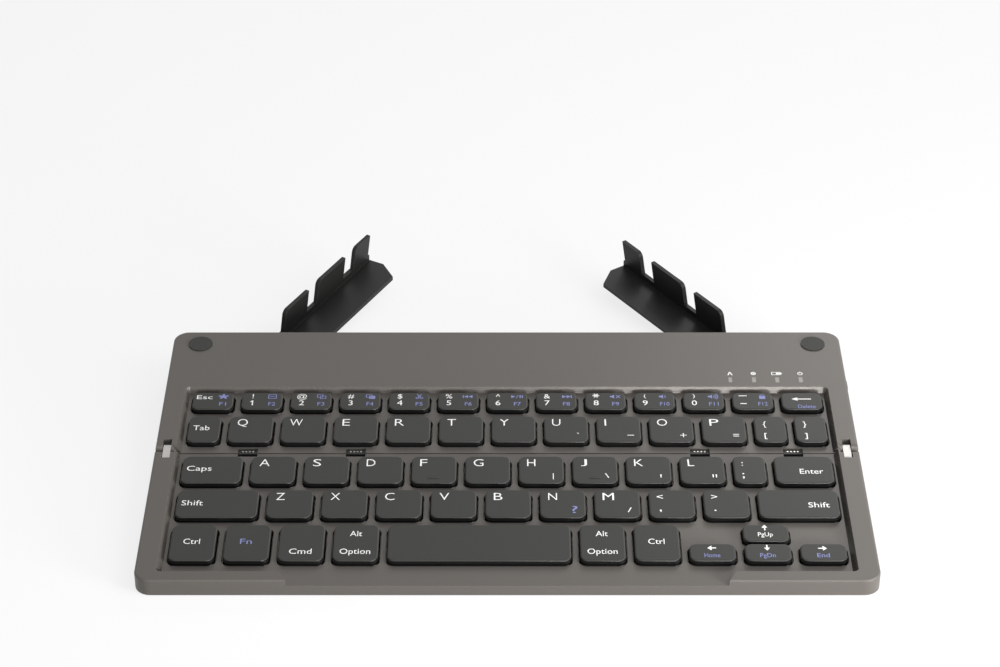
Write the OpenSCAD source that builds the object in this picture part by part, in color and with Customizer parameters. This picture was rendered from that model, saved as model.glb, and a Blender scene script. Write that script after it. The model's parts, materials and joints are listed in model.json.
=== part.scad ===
// Half-fold travel keyboard with a phone stand built into its rear bar.
// Millimetres, +Z up. Every sub-part is drawn on the key plane (x right, y away from
// the typist from the fold line, z = 0 on top of the border) and then tilted by its feet.

/* [View] */
// sub-part to draw
// smoothness of the round parts
$fn = 48; // [24:96]

/* [Halves] */
// width over both side edges
body_w = 248; // [200:1:300]
// fold line to the rear edge
rear_depth = 73.1; // [70:0.1:90]
// fold line to the front edge
front_depth = 73.1; // [70:0.1:90]
// height of the thin part of both halves
body_t = 6.2; // [5:0.1:9]
// radius of the four outer corners
corner_r = 5.6; // [2:0.1:12]
// rounding along the top edge
edge_r = 0.8; // [0.3:0.1:2]
// key field below the border
deck_drop = 2.3; // [1.5:0.1:3]
// thickness of the key field
deck_t = 1; // [0.8:0.1:1.4]
// width of the side borders
border_w = 7.2; // [5:0.1:12]
// width of the front border
front_border = 4.9; // [3:0.1:8]
// length of the lowered finger lip in the front border
lip_w = 147; // [80:1:180]
// slant at each end of the lip
lip_slant = 2.7; // [1:0.1:6]
// thickness of the two bottom covers
cover_t = 0.9; // [0.7:0.1:1.4]
// outer wall round the bottom covers
rim = 1.4; // [1:0.1:2.5]

/* [Rear bar] */
// key field between the number row and the bar
field_back = 2.9; // [1:0.1:6]
// full height of the bar
bar_t = 15.2; // [13:0.1:20]
// rise of the bar's bottom towards the keys
bar_rise = 1.8; // [0:0.1:4]
// depth of that sloping stretch
slope_depth = 17.7; // [5:0.1:25]
// skin above the stand bay
bay_skin = 1.5; // [1.2:0.1:3]
// skin below the stand bay
bay_floor = 1; // [0.8:0.1:2]
// radius of the two rubber bumpers on the bar
pad_r = 4.5; // [3:0.1:6]
// bumper centre from the side edge and from the rear edge
pad_inset = [10.2, 8.3];
// bumper height above the bar
pad_proud = 0.35; // [0.1:0.05:0.4]

/* [Keys] */
// key top below the border
key_drop = 0.3; // [0.2:0.05:0.6]
// height of a keycap
cap_h = 2.7; // [2.4:0.1:3.2]
// thickness of a keycap's top
cap_top = 1; // [0.7:0.1:1.4]
// thickness of a keycap's skirt
cap_wall = 1.2; // [0.8:0.1:1.6]
// plan radius of a keycap's corners
cap_r = 2.9; // [1:0.1:4]
// rounding round a keycap's top
cap_edge = 0.45; // [0.2:0.05:1]
// travel of a key
key_travel = 1.5; // [1:0.1:2]
// gap between a keycap and its hole
key_gap = 0.35; // [0.25:0.05:0.5]
// foot and top radius of a rubber dome
dome_r = [2.6, 1.6];
// key rows' left and right ends from the side edges
key_margin = [10.2, 9.8];
// gap between neighbouring keys in a row
key_space = 2.32; // [1.5:0.01:4]
// letter keys that would fill a row
letters_per_row = 12.18; // [11.9:0.01:12.5]
// number keys that would fill a row
numbers_per_row = 12.867; // [12.8:0.001:12.95]
// square keys of the bottom row that would fill it
thumbs_per_row = 12.459; // [12:0.001:13]
// letter keys that the space bar takes up
space_letters = 3.457; // [3:0.001:3.8]
// where the Q, A and Z keys start, in letter keys
letters_start = [0.769, 1.282, 1.661];
// depth of the letter keys
letter_d = 16.2; // [13:0.1:17]
// depth of the number keys
number_d = 11; // [8:0.1:14]
// depth of the bottom row
thumb_d = 20.1; // [15:0.1:20.5]
// depth of the arrow keys
arrow_d = 9.8; // [8:0.1:9.9]
// front edges of the five rows
row_front = [23.6, 3.9, -20, -39.3, -62.6];

/* [Hinge] */
// spacing of the two hinge pins
pin_spacing = 5.6; // [4:0.1:8]
// gap between the halves, at the fold and when closed
fold_gap = 0.5; // [0.3:0.05:1]
// diameter of the hinge pins
hinge_pin_d = 1.5; // [1:0.1:2.5]
// running clearance round the hinge pins
hinge_fit = 0.03; // [0.02:0.01:0.08]
// width of a hinge link
link_w = 2.6; // [2:0.1:4]
// length of a hinge link
link_len = 8.4; // [7.5:0.1:10]
// link top below the border
link_drop = 1.1; // [0.2:0.05:1.3]
// centre of a link from the side edge
link_in = 4; // [3.3:0.1:5.4]
// rear end of the link slot
slot_end = 5.5; // [5.2:0.1:9]

/* [Stand] */
// distance of a stand pivot from the side edge
pivot_side = 34; // [28:0.1:36]
// distance of a stand pivot from the rear edge
pivot_in = 8.5; // [8.4:0.1:12]
// diameter of a stand pivot
pivot_d = 4; // [3:0.1:6]
// running clearance round a stand pivot
pivot_fit = 0.05; // [0.03:0.01:0.1]
// half width of an arm
arm_half = 8; // [6:0.1:8]
// end of a stowed arm from the middle
arm_space = 5; // [2:0.5:12]
// height of an arm's teeth
arm_h = 12.3; // [10:0.1:12.3]
// thickness of an arm's plate and flange
arm_t = 1.6; // [1.2:0.1:2.5]
// height of the notch floors above the bottom of an arm
notch_h = 3.9; // [2.5:0.1:6]
// where the two teeth and the back rest start, in arm lengths
tooth_from = [0.2647, 0.5412, 0.8588];
// where they end, in arm lengths
tooth_to = [0.4565, 0.7694, 0.9882];
// radius of a tooth's near corner
tooth_r = 2.6; // [0.5:0.1:4]
// lean of the teeth
tooth_lean = 2.2; // [0:0.1:4]
// angle of an arm at its stop
stop_angle = 27; // [20:27]
// angle of the left arm from straight back
left_angle = 29; // [27:90]
// angle of the right arm from straight back
right_angle = 35; // [27:90]

/* [Feet] */
// radius of the six rubber feet
foot_r = 4; // [3:0.1:6]
// height of the bar's feet
bar_foot_h = 0.6; // [0.4:0.1:2]
// height of the front feet
front_foot_h = 0.8; // [0.4:0.1:2]
// the bar's feet from the rear edge
bar_foot_in = 13.9; // [6:0.1:17]
// the front feet from the front edge
front_foot_in = 8.3; // [6:0.1:20]
// the feet beside the fold from the fold line
fold_foot_y = 9; // [6:20]
// feet from the side edges
foot_side = 20; // [12:30]

/* [Fittings] */
// width of a cable window across the fold
window_w = 7; // [5:0.1:9]
// centres of the cable windows, in half widths
window_spots = [-0.7379, -0.4306, 0.5492, 0.8145];
// depth of a window in the rear half
window_rear = 3; // [1.5:0.1:3.2]
// depth of a window in the front half
window_front = 1.8; // [1.5:0.1:2.4]
// the four status lights from the side edge
light_side = [42.3, 33.7, 25.2, 16.6];
// status lights behind the bar's front step
light_in = 4.4; // [3:0.1:8]
// size of a status light
light_size = [1.4, 3.2];
// length, height and proud part of the power switch knob
knob = [4.6, 2, 0.8];
// travel of the power switch
switch_travel = 2; // [1:0.1:3]
// flange on either side of the knob
knob_flange = 1.2; // [0.6:0.1:1.6]
// the flange from the front of its room
switch_in = 1.1; // [0.3:0.1:2]
// width, height and length of the charge socket
socket = [7.5, 2.6, 5.6];
// length of the battery
battery_len = 66; // [30:1:90]
// height of the battery
battery_h = 7; // [3:0.1:9]
// battery from the side of its room
battery_side = 37; // [2:1:60]
// air in front of and behind the battery
battery_gap = 1.4; // [0.3:0.1:3]
// width of the main board
board_w = 56; // [30:1:80]
// side of the controller
chip = 7; // [4:0.5:8]
// shank diameter of the screws
screw_d = 1.6; // [1.2:0.1:2]
// radius of the screw heads
head_r = 1.4; // [1:0.1:1.6]

/* [Hidden] */
eps = 0.01;
big = 400;
// whole hundredths, so that edges drawn from different sums still meet
function even(size) = round(size * 100) / 100;
half_w = body_w / 2;
bar_front = row_front[0] + number_d + field_back;
field_w = half_w - border_w;
cover_top = -body_t + cover_t;
field_front = front_border - front_depth;
link_x = half_w - link_in;
pin_y = pin_spacing / 2;
fold_r = (pin_spacing - fold_gap) / 2;
pin_z = -fold_r;
fold_face = fold_gap / 2;
pin_r = hinge_pin_d / 2;
slot_w = link_w + 0.5;
link_top = -link_drop;
link_low = 2 * pin_z - link_top;
plate_t = 0.3;
sheet_t = 0.2;
plate_top = cover_top + plate_t;
sheet_top = plate_top + sheet_t;
cap_under = -key_drop - cap_top;
pivot_x = half_w - pivot_side;
pivot_y = rear_depth - pivot_in;
arm_len = pivot_x - arm_space;
tooth_start = [for (share = tooth_from) even(share * arm_len)];
tooth_end = [for (share = tooth_to) even(share * arm_len)];
bay_top = -bay_skin;
bay_low = -bar_t + bay_floor;
bay_gap = 0.2;
bay_fit = 0.4;
flank_fit = 0.2;
arm_low = bay_low + bay_gap;
bay_front = pivot_y - arm_half - bay_fit;
room_front = bar_front + 1.7;
room_back = bay_front - 1.2;
room_side = half_w - 2;
room_low = -11.9;
board_t = 1;
board_top = -7.2;
board_low = board_top - board_t;
socket_low = board_low - socket[1];
knob_low = board_top + 1.6;
knob_reach = knob[0] / 2 + knob_flange;
switch_y = room_front + switch_in + knob_reach;
socket_y = (room_front + room_back) / 2;
battery_left = battery_side - room_side;
window_x = [for (spot = window_spots) even(spot * half_w)];
cable_end = 2.3;
light_x = [for (side = light_side) half_w - side];
screw_r = screw_d / 2;
screw_x = half_w - 4;
head_h = 0.45;
screw_spots_rear = [[screw_x, 14], [screw_x, 33], [half_w - 14, rear_depth - 8]];
screw_spots_front = [[screw_x, -14], [screw_x, 12.3 - front_depth]];
foot_x = half_w - foot_side;
bar_foot_y = rear_depth - bar_foot_in;
front_foot_y = front_foot_in - front_depth;

// the feet stand on one plane, which sets the typing tilt
tilt = atan((bar_t + bar_foot_h - body_t - front_foot_h) / (bar_foot_y - front_foot_y));
lift = (bar_t + bar_foot_h) * cos(tilt) - bar_foot_y * sin(tilt);
// the origin is under the middle of the whole outline, with the arms as photographed
arm_back = pivot_y + arm_half * sin(left_angle) + arm_len * cos(left_angle);
back_y = arm_back * cos(tilt) - arm_low * sin(tilt);
front_y = -front_depth * cos(tilt) + edge_r * sin(tilt);
shift_y = -(back_y + front_y) / 2;
shift_x = -knob[2] / 2;

// the keys of a row share its length
keys_left = key_margin[0] - half_w;
keys_right = half_w - key_margin[1];
row_length = keys_right - keys_left;
letter_pitch = even(row_length / letters_per_row);
letter_w = letter_pitch - key_space;
letters_left = [for (start = letters_start) even(keys_left + start * letter_pitch)];
number_pitch = even(row_length / numbers_per_row);
number_w = number_pitch - key_space;
thumb_pitch = even(row_length / thumbs_per_row);
thumb_w = thumb_pitch - key_space;
space_w = even(space_letters * letter_pitch) - key_space;

// a key is [left edge, width, front edge, depth]
function number_key(i) = [keys_left + i * number_pitch, number_w, row_front[0], number_d];
function letter_key(row, i) =
    [letters_left[row] + i * letter_pitch, letter_w, row_front[row + 1], letter_d];
function thumb_key(i) = [keys_left + i * thumb_pitch, thumb_w, row_front[4], thumb_d];
bracket_w = even((keys_right - letters_left[0] - 10 * letter_pitch - key_space) / 2);
tab = [keys_left, letters_left[0] - key_space - keys_left, row_front[1], letter_d];
brackets = [for (i = [0, 1])
    [letters_left[0] + 10 * letter_pitch + i * (bracket_w + key_space), bracket_w,
     row_front[1], letter_d]];
caps = [keys_left, letters_left[1] - key_space - keys_left, row_front[2], letter_d];
semicolon = [letters_left[1] + 9 * letter_pitch, bracket_w, row_front[2], letter_d];
enter_left = semicolon[0] + bracket_w + key_space;
enter = [enter_left, keys_right - enter_left, row_front[2], letter_d];
left_shift = [keys_left, letters_left[2] - key_space - keys_left, row_front[3], letter_d];
right_shift_left = letters_left[2] + 9 * letter_pitch;
right_shift = [right_shift_left, keys_right - right_shift_left, row_front[3], letter_d];
space = [keys_left + 4 * thumb_pitch, space_w, row_front[4], thumb_d];
right_thumb = space[0] + space_w + key_space;
right_keys = [for (i = [0, 1]) [right_thumb + i * thumb_pitch, thumb_w, row_front[4], thumb_d]];
arrows_left = right_thumb + 2 * thumb_pitch;
arrow_w = even((keys_right - arrows_left - 2 * key_space) / 3);
arrow_pitch = arrow_w + key_space;
up_front = row_front[4] + thumb_d - arrow_d;
arrows = concat(
    [for (i = [0:2]) [arrows_left + i * arrow_pitch, arrow_w, row_front[4], arrow_d]],
    [[arrows_left + arrow_pitch, arrow_w, up_front, arrow_d]]);
number_keys = [for (i = [0:12]) number_key(i)];
q_row = [for (i = [0:9]) letter_key(0, i)];
a_row = [for (i = [0:8]) letter_key(1, i)];
z_row = [for (i = [0:8]) letter_key(2, i)];
modifiers = concat([caps, left_shift, right_shift], [for (i = [0:3]) thumb_key(i)], right_keys);
rear_keys = concat(number_keys, [tab], q_row, brackets);
front_keys = concat(a_row, [semicolon, enter], z_row, modifiers, [space], arrows);

// ---------------------------------------------------------------- shared shapes

// from the key plane to the table
module keyboard_plane() {
    translate([shift_x, shift_y, lift])
        rotate([tilt, 0, 0])
            children();
}

module both_sides() {
    children();
    mirror([1, 0, 0])
        children();
}

// a rectangle from one corner to the other with round corners
module rounded(low, high, r) {
    translate([low[0] + r, low[1]])
        square([high[0] - low[0] - 2 * r, high[1] - low[1]]);
    translate([low[0], low[1] + r])
        square([high[0] - low[0], high[1] - low[1] - 2 * r]);
    for (x = [low[0] + r, high[0] - r], y = [low[1] + r, high[1] - r])
        translate([x, y])
            circle(r);
}

module slab(low_z, high_z) {
    translate([0, 0, low_z])
        linear_extrude(high_z - low_z)
            children();
}

// a box from one corner to the other
module block(low, high) {
    translate(low)
        cube(high - low);
}

// a profile drawn in y and z, run along x
module along_x(from, to) {
    translate([from, 0, 0])
        rotate([90, 0, 90])
            linear_extrude(to - from)
                children();
}

// a round bar along x
module rod_x(from, to, r) {
    translate([from, 0, 0])
        rotate([0, 90, 0])
            cylinder(r = r, h = to - from);
}

// what a rounded outer edge takes off a square corner at the origin, body on the low side
module edge_waste() {
    difference() {
        translate([-edge_r, -edge_r])
            square(edge_r + 1);
        translate([-edge_r, -edge_r])
            circle(edge_r);
    }
}

// one half seen from above: y runs from the fold face to the outer edge, rear half up
module half_outline(depth) {
    difference() {
        translate([-half_w, fold_face])
            square([body_w, depth - fold_face]);
        for (side = [-1, 1])
            translate([side * half_w, depth])
                difference() {
                    square(2 * corner_r, center = true);
                    translate([-side * corner_r, -corner_r])
                        circle(corner_r);
                }
    }
}

// rounding along the three outer top edges of a half
module top_edge_waste(depth) {
    along_x(corner_r - half_w, half_w - corner_r)
        translate([depth, 0])
            edge_waste();
    both_sides() {
        translate([half_w, depth - corner_r, 0])
            rotate([90, 0, 0])
                linear_extrude(depth - corner_r + 1)
                    edge_waste();
        translate([half_w - corner_r, depth - corner_r, 0])
            rotate_extrude(angle = 90)
                translate([corner_r, 0])
                    edge_waste();
    }
}

// the quarter that the round fold edge takes off above the pins
module fold_edge_waste() {
    along_x(-half_w - 1, half_w + 1)
        difference() {
            translate([fold_face - 1, pin_z])
                square([fold_r + 1, fold_r + 1]);
            translate([pin_y, pin_z])
                circle(fold_r);
        }
}

// slot and pin hole for one end of a link, on the rear half
module hinge_room(end) {
    both_sides() {
        block([link_x - slot_w / 2, -1, -body_t - 1], [link_x + slot_w / 2, end, 1]);
        translate([0, pin_y, pin_z])
            rod_x(field_w + 0.5, half_w - 1, pin_r);
    }
}

module cable_windows(depth) {
    for (x = window_x)
        block([x - window_w / 2, -1, -body_t], [x + window_w / 2, depth, 1]);
}

// ---------------------------------------------------------------- keys

module cap_profile(length) {
    translate([-length / 2, 0])
        square([length, cap_h - cap_edge]);
    translate([cap_edge - length / 2, 0])
        square([length - 2 * cap_edge, cap_h]);
    for (side = [-1, 1])
        translate([side * (length / 2 - cap_edge), cap_h - cap_edge])
            circle(cap_edge);
}

module keycap(key) {
    w = key[1];
    d = key[3];
    translate([key[0] + w / 2, key[2] + d / 2, -key_drop - cap_h])
        difference() {
            intersection() {
                linear_extrude(cap_h)
                    rounded([-w / 2, -d / 2], [w / 2, d / 2], cap_r);
                rotate([90, 0, 0])
                    linear_extrude(d + 2, center = true)
                        cap_profile(w);
                rotate([90, 0, 90])
                    linear_extrude(w + 2, center = true)
                        cap_profile(d);
            }
            block([cap_wall - w / 2, cap_wall - d / 2, -1],
                  [w / 2 - cap_wall, d / 2 - cap_wall, cap_h - cap_top]);
        }
}

module keycaps(keys) {
    color("#464542")
        keyboard_plane()
            for (key = keys)
                keycap(key);
}

module key_holes(keys) {
    for (key = keys)
        slab(-deck_drop - deck_t - 1, 1)
            rounded([key[0] - key_gap, key[2] - key_gap],
                    [key[0] + key[1] + key_gap, key[2] + key[3] + key_gap], cap_r + key_gap);
}

// switch sheet with one rubber dome under each key
module domes(keys, low_y, high_y) {
    block([-field_w + 1, low_y, plate_top], [field_w - 1, high_y, sheet_top]);
    for (key = keys)
        translate([key[0] + key[1] / 2, key[2] + key[3] / 2, sheet_top - eps])
            cylinder(r1 = dome_r[0], r2 = dome_r[1], h = cap_under - sheet_top + eps);
}

module key_q() keycaps([letter_key(0, 0)]);
module key_w() keycaps([letter_key(0, 1)]);
module key_e() keycaps([letter_key(0, 2)]);
module key_r() keycaps([letter_key(0, 3)]);
module key_t() keycaps([letter_key(0, 4)]);
module key_y() keycaps([letter_key(0, 5)]);
module key_u() keycaps([letter_key(0, 6)]);
module key_i() keycaps([letter_key(0, 7)]);
module key_o() keycaps([letter_key(0, 8)]);
module key_p() keycaps([letter_key(0, 9)]);
module key_a() keycaps([letter_key(1, 0)]);
module key_s() keycaps([letter_key(1, 1)]);
module key_d() keycaps([letter_key(1, 2)]);
module key_f() keycaps([letter_key(1, 3)]);
module key_g() keycaps([letter_key(1, 4)]);
module key_h() keycaps([letter_key(1, 5)]);
module key_j() keycaps([letter_key(1, 6)]);
module key_k() keycaps([letter_key(1, 7)]);
module key_l() keycaps([letter_key(1, 8)]);
module key_z() keycaps([letter_key(2, 0)]);
module key_x() keycaps([letter_key(2, 1)]);
module key_c() keycaps([letter_key(2, 2)]);
module key_v() keycaps([letter_key(2, 3)]);
module key_b() keycaps([letter_key(2, 4)]);
module key_n() keycaps([letter_key(2, 5)]);
module key_m() keycaps([letter_key(2, 6)]);
module number_row_keys() keycaps(number_keys);
module tab_bracket_keys() keycaps(concat([tab], brackets));
module punctuation_keys() keycaps([semicolon, letter_key(2, 7), letter_key(2, 8)]);
module enter_key() keycaps([enter]);
module modifier_keys() keycaps(modifiers);
module space_key() keycaps([space]);
module arrow_keys() keycaps(arrows);

// ---------------------------------------------------------------- rear half

// room swept by the stand arms, open to the rear; its flanks stop the arms
module stand_bay() {
    slab(bay_low, bay_top) {
        translate([-pivot_x, bay_front])
            square([2 * pivot_x, rear_depth + 1 - bay_front]);
        both_sides()
            translate([pivot_x, pivot_y]) {
                circle(arm_half + bay_fit);
                rotate(stop_angle)
                    translate([-arm_half, 0])
                        square(2 * arm_half + flank_fit);
            }
    }
}

// room for the battery and the board
module electronics_room() {
    block([-room_side, room_front, room_low], [room_side, room_back, bay_top]);
}

module pivot_holes() {
    both_sides()
        translate([pivot_x, pivot_y, -bar_t + bay_floor / 2])
            cylinder(d = pivot_d, h = bar_t - bay_floor / 2 - bay_skin / 2);
}

module switch_slot() {
    length = knob[0] + switch_travel + 0.4;
    block([half_w - 3, switch_y - knob[0] / 2 - 0.2, knob_low - 0.2],
          [half_w + 1, switch_y - knob[0] / 2 - 0.2 + length, knob_low + knob[1] + 0.2]);
}

module socket_hole() {
    block([half_w - 3, socket_y - socket[0] / 2 - 0.1, socket_low - 0.1],
          [half_w + 1, socket_y + socket[0] / 2 + 0.1, board_low + 0.1]);
}

module screw_holes(spots) {
    for (spot = spots)
        both_sides()
            translate([spot[0], spot[1], -bar_t - 1]) {
                cylinder(r = screw_r, h = bar_t - 2);
                cylinder(r = head_r + 0.05, h = bar_t + 1 - body_t + head_h);
            }
}

module rear_top_case() {
    color("#75726d")
        keyboard_plane()
            difference() {
                slab(-body_t, 0)
                    half_outline(rear_depth);
                top_edge_waste(rear_depth);
                fold_edge_waste();
                // key field and the room under it
                slab(-deck_drop, 1)
                    rounded([-field_w, -6], [field_w, bar_front], 1.8);
                block([-field_w + 0.8, 1.3, -body_t - 1],
                      [field_w - 0.8, bar_front, -deck_drop - deck_t]);
                // seat of the bottom cover
                slab(-body_t - 1, cover_top)
                    rounded([rim - half_w, 1.3], [half_w - rim, rear_depth - rim], corner_r - rim);
                key_holes(rear_keys);
                electronics_room();
                stand_bay();
                pivot_holes();
                hinge_room(slot_end);
                cable_windows(window_rear);
                switch_slot();
                socket_hole();
                screw_holes(screw_spots_rear);
                both_sides()
                    translate([half_w - pad_inset[0], rear_depth - pad_inset[1], -0.7])
                        cylinder(r = pad_r, h = 2);
                for (x = light_x)
                    translate([x - light_size[0] / 2, bar_front + light_in - light_size[1] / 2, -3])
                        cube([light_size[0], light_size[1], 4]);
            }
}

module rear_bottom_case() {
    color("#5f5d59")
        keyboard_plane()
            difference() {
                union() {
                    slab(-body_t, cover_top)
                        rounded([rim - half_w + 0.1, 1.4],
                                [half_w - rim - 0.1, rear_depth - rim - 0.1], corner_r - rim);
                    intersection() {
                        slab(-bar_t, -body_t)
                            half_outline(rear_depth);
                        along_x(-half_w - 1, half_w + 1)
                            polygon([[bar_front, -body_t], [bar_front, bar_rise - bar_t],
                                     [bar_front + slope_depth, -bar_t],
                                     [rear_depth + 1, -bar_t], [rear_depth + 1, -body_t]]);
                    }
                }
                electronics_room();
                stand_bay();
                pivot_holes();
                switch_slot();
                socket_hole();
                hinge_room(slot_end);
                cable_windows(window_front);
                screw_holes(screw_spots_rear);
            }
}

module rear_support_plate() {
    color("#9a9a98")
        keyboard_plane()
            block([-field_w + 1, 2.6, cover_top], [field_w - 1, bar_front - 0.4, plate_top]);
}

module rear_domes() {
    color("#d8d6d0")
        keyboard_plane()
            domes(rear_keys, 2.6, bar_front - 0.4);
}

module main_board() {
    color("#2f5d3a")
        keyboard_plane() {
            // board, with the controller, the switch body and the posts it stands on
            block([room_side - board_w, room_front + 0.2, board_low],
                  [room_side - 0.4, room_back - 0.2, board_top]);
            translate([room_side - board_w + 6, (room_front + room_back - chip) / 2, board_top - eps])
                cube([chip, chip, 1.2]);
            for (x = [room_side - board_w + 3, room_side - 9], y = [room_front + 2.5, room_back - 2.5])
                translate([x, y, room_low])
                    cylinder(r = 1.5, h = board_low - room_low + eps);
        }
}

module battery() {
    color("#3a6ea8")
        keyboard_plane()
            slab(room_low, room_low + battery_h)
                rounded([battery_left, room_front + battery_gap],
                        [battery_left + battery_len, room_back - battery_gap], 1.5);
}

module charge_socket() {
    color("#b9b9b6")
        keyboard_plane()
            difference() {
                block([half_w - socket[2], socket_y - socket[0] / 2, socket_low],
                      [half_w - 0.1, socket_y + socket[0] / 2, board_low]);
                // mouth, round a contact tongue
                difference() {
                    block([half_w - socket[2] + 1, socket_y - socket[0] / 2 + 0.4, socket_low + 0.4],
                          [half_w + 1, socket_y + socket[0] / 2 - 0.4, board_low - 0.4]);
                    block([half_w - socket[2], socket_y - socket[0] / 2 + 1.6, socket_low + 0.8],
                          [half_w - 0.8, socket_y + socket[0] / 2 - 1.6, socket_low + 1.3]);
                }
            }
}

module power_switch() {
    color("#1f1f1f")
        keyboard_plane() {
            block([half_w - 2.6, switch_y - knob[0] / 2, knob_low],
                  [half_w + knob[2], switch_y + knob[0] / 2, knob_low + knob[1]]);
            // flange that keeps the knob behind the wall
            block([half_w - 3.6, switch_y - knob_reach, board_top + 0.1],
                  [half_w - 2.2, switch_y + knob_reach, knob_low + knob[1] + 1]);
        }
}

module status_lights() {
    color("#e8e8e4")
        keyboard_plane()
            for (x = light_x)
                translate([x, bar_front + light_in, 0]) {
                    block([-light_size[0] / 2, -light_size[1] / 2, board_top],
                          [light_size[0] / 2, light_size[1] / 2, -0.05]);
                }
}

module bar_bumpers() {
    color("#3a3a38")
        keyboard_plane()
            both_sides()
                translate([half_w - pad_inset[0], rear_depth - pad_inset[1], -0.7])
                    cylinder(r = pad_r - 0.05, h = 0.7 + pad_proud);
}

// a foot under a flat bottom, trimmed level with the table
module foot(x, y, top) {
    difference() {
        keyboard_plane()
            translate([x, y, top - 10])
                cylinder(r = foot_r, h = 10);
        translate([-big / 2, -big / 2, -20])
            cube([big, big, 20]);
    }
}

module rear_feet() {
    color("#2a2a29")
        both_sides() {
            foot(foot_x, bar_foot_y, -bar_t);
            foot(foot_x, fold_foot_y, -body_t);
        }
}

module screws(spots) {
    color("#b0b0ae")
        keyboard_plane()
            for (spot = spots)
                both_sides()
                    translate([spot[0], spot[1], -body_t]) {
                        cylinder(r = head_r, h = head_h);
                        cylinder(r = screw_r, h = body_t - 3.1);
                    }
}

module rear_screws() screws(screw_spots_rear);

// ---------------------------------------------------------------- stand arms

// a tooth leans back along the arm; the notch behind it holds the phone's lower edge
module tooth(from, to) {
    lean = atan(tooth_lean / (arm_h - notch_h));
    middle = [from + tooth_lean + tooth_r * (1 / cos(lean) - tan(lean)), arm_h - tooth_r];
    difference() {
        polygon([[from, notch_h - eps], [from + tooth_lean, arm_h], [to + tooth_lean, arm_h],
                 [to, notch_h - eps]]);
        // round near corner
        difference() {
            polygon([middle, middle + tooth_r * [-cos(lean), sin(lean)],
                     [from + tooth_lean - 1, arm_h + 1], [middle[0], arm_h + 1]]);
            translate(middle)
                circle(tooth_r);
        }
    }
}

// an arm that points along +y, its toothed flange on the -x side
module stand_arm() {
    // flange with the teeth
    translate([-arm_half, 0, 0])
        rotate([90, 0, 90])
            linear_extrude(arm_t) {
                square([arm_len, notch_h]);
                for (i = [0:2])
                    tooth(tooth_start[i], tooth_end[i]);
            }
    difference() {
        union() {
            // plate and the eye round the pivot
            linear_extrude(arm_t) {
                translate([-arm_half, 0])
                    square([2 * arm_half, arm_len - 6]);
                polygon([[-arm_half, arm_len - 6 - eps], [-arm_half, arm_len],
                         [-arm_half + 8, arm_len], [arm_half, arm_len - 6 - eps]]);
                circle(arm_half);
            }
            cylinder(r = 4.4, h = arm_h);
        }
        translate([0, 0, -1])
            cylinder(r = pivot_d / 2 + pivot_fit, h = arm_h + 2);
    }
}

module stand_arm_left() {
    color("#2b2b2a")
        keyboard_plane()
            translate([-pivot_x, pivot_y, arm_low])
                rotate(-left_angle)
                    stand_arm();
}

module stand_arm_right() {
    color("#2b2b2a")
        keyboard_plane()
            translate([pivot_x, pivot_y, arm_low])
                rotate(right_angle)
                    mirror([1, 0, 0])
                        stand_arm();
}

module stand_pivots() {
    color("#b8b8b6")
        keyboard_plane()
            pivot_holes();
}

// ---------------------------------------------------------------- hinge

module hinge_pin_pair(y) {
    color("#b8b8b6")
        keyboard_plane()
            both_sides()
                translate([0, y, pin_z])
                    rod_x(field_w + 0.5, half_w - 1, pin_r);
}

module rear_hinge_pins() hinge_pin_pair(pin_y);

module front_hinge_pins() hinge_pin_pair(-pin_y);

module hinge_links() {
    color("#cfccc6")
        keyboard_plane()
            both_sides()
                difference() {
                    along_x(link_x - link_w / 2, link_x + link_w / 2)
                        rounded([-link_len / 2, link_low], [link_len / 2, link_top], 0.9);
                    for (y = [-pin_y, pin_y])
                        translate([0, y, pin_z])
                            rod_x(field_w, half_w, pin_r + hinge_fit);
                }
}

module cable_boots() {
    color("#151515")
        keyboard_plane()
            for (x = window_x)
                block([x - window_w / 2 + 0.1, 0.35, -4.6],
                      [x + window_w / 2 - 0.1, window_rear - 0.05, -deck_drop - 0.5]);
}

module cable_contacts() {
    color("#c8c8c4")
        keyboard_plane()
            for (x = window_x, i = [-1.5:1:1.5])
                translate([x + 1.2 * i, 1.6, -deck_drop - 0.5])
                    cylinder(r = 0.32, h = 0.2);
}

// one flat cable in each window, from cover to cover under the fold
module flex_cables() {
    color("#8a5a2a")
        keyboard_plane()
            for (x = window_x)
                block([x - window_w / 2 + 0.8, -cable_end, -5.1],
                      [x + window_w / 2 - 0.8, cable_end, -4.95]);
}

// ---------------------------------------------------------------- front half

module front_top_case() {
    color("#75726d")
        keyboard_plane()
            difference() {
                mirror([0, 1, 0])
                    difference() {
                        slab(-body_t, 0)
                            half_outline(front_depth);
                        top_edge_waste(front_depth);
                        fold_edge_waste();
                        slab(-body_t - 1, cover_top)
                            rounded([rim - half_w, 0.9], [half_w - rim, front_depth - rim],
                                    corner_r - rim);
                        hinge_room(link_len / 2 + 1.1);
                        cable_windows(window_front);
                    }
                // key field, open to the front along the finger lip
                slab(-deck_drop, 1)
                    rounded([-field_w, field_front], [field_w, 6], 1.8);
                slab(-deck_drop, 1)
                    polygon([[-lip_w / 2 - lip_slant, field_front + 0.5],
                             [lip_w / 2 + lip_slant, field_front + 0.5],
                             [lip_w / 2, -front_depth], [lip_w / 2, -front_depth - 1],
                             [-lip_w / 2, -front_depth - 1], [-lip_w / 2, -front_depth]]);
                block([-field_w + 0.8, field_front + 1, -body_t - 1],
                      [field_w - 0.8, -0.9, -deck_drop - deck_t]);
                key_holes(front_keys);
                screw_holes(screw_spots_front);
            }
}

module front_bottom_case() {
    color("#5f5d59")
        keyboard_plane()
            difference() {
                slab(-body_t, cover_top)
                    rounded([rim - half_w + 0.1, rim + 0.1 - front_depth], [half_w - rim - 0.1, -1],
                            corner_r - rim);
                mirror([0, 1, 0]) {
                    hinge_room(link_len / 2 + 1.1);
                    cable_windows(window_front);
                }
                screw_holes(screw_spots_front);
            }
}

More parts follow.
